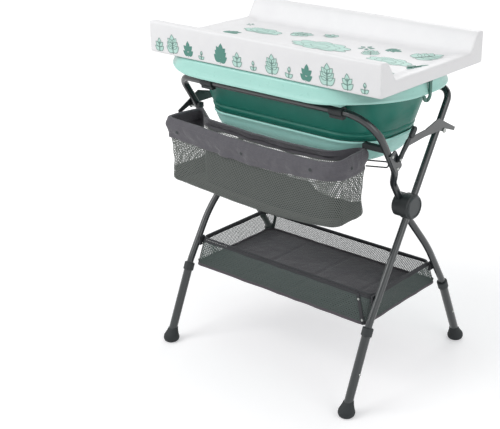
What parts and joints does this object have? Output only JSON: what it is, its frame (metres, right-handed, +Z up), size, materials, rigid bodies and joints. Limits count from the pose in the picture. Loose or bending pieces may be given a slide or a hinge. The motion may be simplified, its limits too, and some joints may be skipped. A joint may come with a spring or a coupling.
{
  "type": "changing table with bathtub",
  "caption": "Folding changing table: padded top over a collapsible bath on a crossed tube frame with telescopic legs, brace arms, a hanging mesh basket and a lower cloth shelf.",
  "frame": {"origin": "on the floor, under the middle of the table", "axes": "+X along the table to its right end, +Y to the back, +Z up"},
  "size_m": [0.8, 0.6016, 0.974],
  "materials": {
    "frame_metal": "satin dark grey powder coat",
    "dark_plastic": "fine grained dark grey moulding",
    "strap_metal": "satin dark grey powder coat",
    "bright_steel": "zinc plated",
    "foot_rubber": "matt moulded rubber",
    "mint_plastic": "semi gloss mint moulding",
    "green_silicone": "matt dark green soft wall",
    "green_plastic": "dark green moulding",
    "top_vinyl": "white wipe-clean coated cloth over foam",
    "top_board": "thin fibre board",
    "band_fabric": "grey woven polyester",
    "mesh_fabric": "open grey net",
    "black_wire": "black coated wire",
    "black_binding": "black corded edge"
  },
  "bodies": {
    "hub": {"right_hub_axle": "bright_steel", "left_hub_axle": "bright_steel", "shelf_walls": "mesh_fabric", "shelf_floor": "band_fabric", "shelf_binding": "black_binding", "shelf_ties": "band_fabric"},
    "front_frame": {"front_frame_tube": "frame_metal", "right_inner_hub": "dark_plastic", "left_outer_hub": "dark_plastic", "left_hub_cap": "dark_plastic", "front_bar_holders": "dark_plastic", "right_brace_bracket": "strap_metal", "right_bracket_rivets": "bright_steel", "right_brace_pin": "bright_steel", "left_brace_stud": "bright_steel", "basket_hoop": "black_wire", "basket_band": "band_fabric", "basket_bag": "mesh_fabric", "basket_brackets": "dark_plastic", "basket_loop": "black_wire", "band_snaps": "black_wire"},
    "rear_frame": {"rear_frame_tube": "frame_metal", "left_inner_hub": "dark_plastic", "right_outer_hub": "dark_plastic", "right_hub_cap": "dark_plastic", "rear_bar_holders": "dark_plastic", "left_brace_bracket": "strap_metal", "left_bracket_rivets": "bright_steel", "left_brace_pin": "bright_steel", "right_brace_stud": "bright_steel"},
    "right_brace": {"right_brace_arm": "strap_metal"},
    "left_brace": {"left_brace_arm": "strap_metal"},
    "right_lever": {"right_brace_lever": "strap_metal"},
    "left_lever": {"left_brace_lever": "strap_metal"},
    "bath": {"bath_rim": "mint_plastic", "bath_wall": "green_silicone", "water_display": "dark_plastic", "rim_hook": "green_plastic", "hook_clip": "dark_plastic"},
    "pan": {"bath_pan": "mint_plastic"},
    "plug": {"drain_plug": "mint_plastic"},
    "changing_top": {"top_cover": "top_vinyl", "top_board": "top_board", "top_pads": "foot_rubber"},
    "front_left_leg": {"front_left_leg_sleeve": "frame_metal", "front_left_leg_collar": "dark_plastic", "front_left_foot": "foot_rubber"},
    "front_left_button": {"front_left_snap_button": "bright_steel"},
    "front_right_leg": {"front_right_leg_sleeve": "frame_metal", "front_right_leg_collar": "dark_plastic", "front_right_foot": "foot_rubber"},
    "front_right_button": {"front_right_snap_button": "bright_steel"},
    "back_left_leg": {"back_left_leg_sleeve": "frame_metal", "back_left_leg_collar": "dark_plastic", "back_left_foot": "foot_rubber"},
    "back_left_button": {"back_left_snap_button": "bright_steel"},
    "back_right_leg": {"back_right_leg_sleeve": "frame_metal", "back_right_leg_collar": "dark_plastic", "back_right_foot": "foot_rubber"},
    "back_right_button": {"back_right_snap_button": "bright_steel"}
  },
  "joints": [
    {"name": "frame_fold", "type": "hinge", "parent": "hub", "child": "front_frame", "pos_m": [0.325, 0, 0.525], "axis": [-1, 0, 0], "range_deg": [0, 24]},
    {"name": "rear_frame_fold", "type": "hinge", "parent": "hub", "child": "rear_frame", "pos_m": [0.325, 0, 0.525], "axis": [1, 0, 0], "range_deg": [0, 24]},
    {"name": "bath_lift", "type": "slide", "parent": "hub", "child": "bath", "axis": [0, 0, 1], "range_m": [0, 0.84]},
    {"name": "pan_collapse", "type": "slide", "parent": "bath", "child": "pan", "axis": [0, 0, 1], "range_m": [0, 0.1], "deforming": ["bath_wall"]},
    {"name": "plug_pull", "type": "slide", "parent": "pan", "child": "plug", "axis": [0, 0, 1], "range_m": [0, 0.04]},
    {"name": "top_lift", "type": "slide", "parent": "bath", "child": "changing_top", "axis": [0, 0, 1], "range_m": [0, 0.25]},
    {"name": "right_brace_swing", "type": "hinge", "parent": "front_frame", "child": "right_brace", "pos_m": [0.3534, -0.08514, 0.68647], "axis": [1, 0, 0], "range_deg": [0, 84.5]},
    {"name": "right_lever_lift", "type": "hinge", "parent": "right_brace", "child": "right_lever", "pos_m": [0.3569, -0.08514, 0.68647], "axis": [1, 0, 0], "range_deg": [0, 20]},
    {"name": "left_brace_swing", "type": "hinge", "parent": "rear_frame", "child": "left_brace", "pos_m": [-0.3534, 0.08514, 0.68647], "axis": [-1, 0, 0], "range_deg": [0, 84.5]},
    {"name": "left_lever_lift", "type": "hinge", "parent": "left_brace", "child": "left_lever", "pos_m": [-0.3569, 0.08514, 0.68647], "axis": [-1, 0, 0], "range_deg": [0, 20]},
    {"name": "front_left_leg_slide", "type": "slide", "parent": "rear_frame", "child": "front_left_leg", "axis": [0, -0.4087, -0.9127], "range_m": [0, 0.06]},
    {"name": "front_left_button_press", "type": "slide", "parent": "front_left_leg", "child": "front_left_button", "axis": [1, 0, 0], "range_m": [0, 0.0025], "stiffness_N_per_m": 600},
    {"name": "front_right_leg_slide", "type": "slide", "parent": "rear_frame", "child": "front_right_leg", "axis": [0, -0.4087, -0.9127], "range_m": [0, 0.06]},
    {"name": "front_right_button_press", "type": "slide", "parent": "front_right_leg", "child": "front_right_button", "axis": [-1, 0, 0], "range_m": [0, 0.0025], "stiffness_N_per_m": 600},
    {"name": "back_left_leg_slide", "type": "slide", "parent": "front_frame", "child": "back_left_leg", "axis": [0, 0.4087, -0.9127], "range_m": [0, 0.06]},
    {"name": "back_left_button_press", "type": "slide", "parent": "back_left_leg", "child": "back_left_button", "axis": [1, 0, 0], "range_m": [0, 0.0025], "stiffness_N_per_m": 600},
    {"name": "back_right_leg_slide", "type": "slide", "parent": "front_frame", "child": "back_right_leg", "axis": [0, 0.4087, -0.9127], "range_m": [0, 0.06]},
    {"name": "back_right_button_press", "type": "slide", "parent": "back_right_leg", "child": "back_right_button", "axis": [-1, 0, 0], "range_m": [0, 0.0025], "stiffness_N_per_m": 600}
  ],
  "couplings": [
    {"joint": "rear_frame_fold", "follows": "frame_fold", "ratio": 1},
    {"joint": "bath_lift", "follows": "frame_fold", "m_per_rad": 2},
    {"joint": "right_brace_swing", "follows": "frame_fold", "ratio": 3.5},
    {"joint": "left_brace_swing", "follows": "frame_fold", "ratio": 3.5}
  ]
}
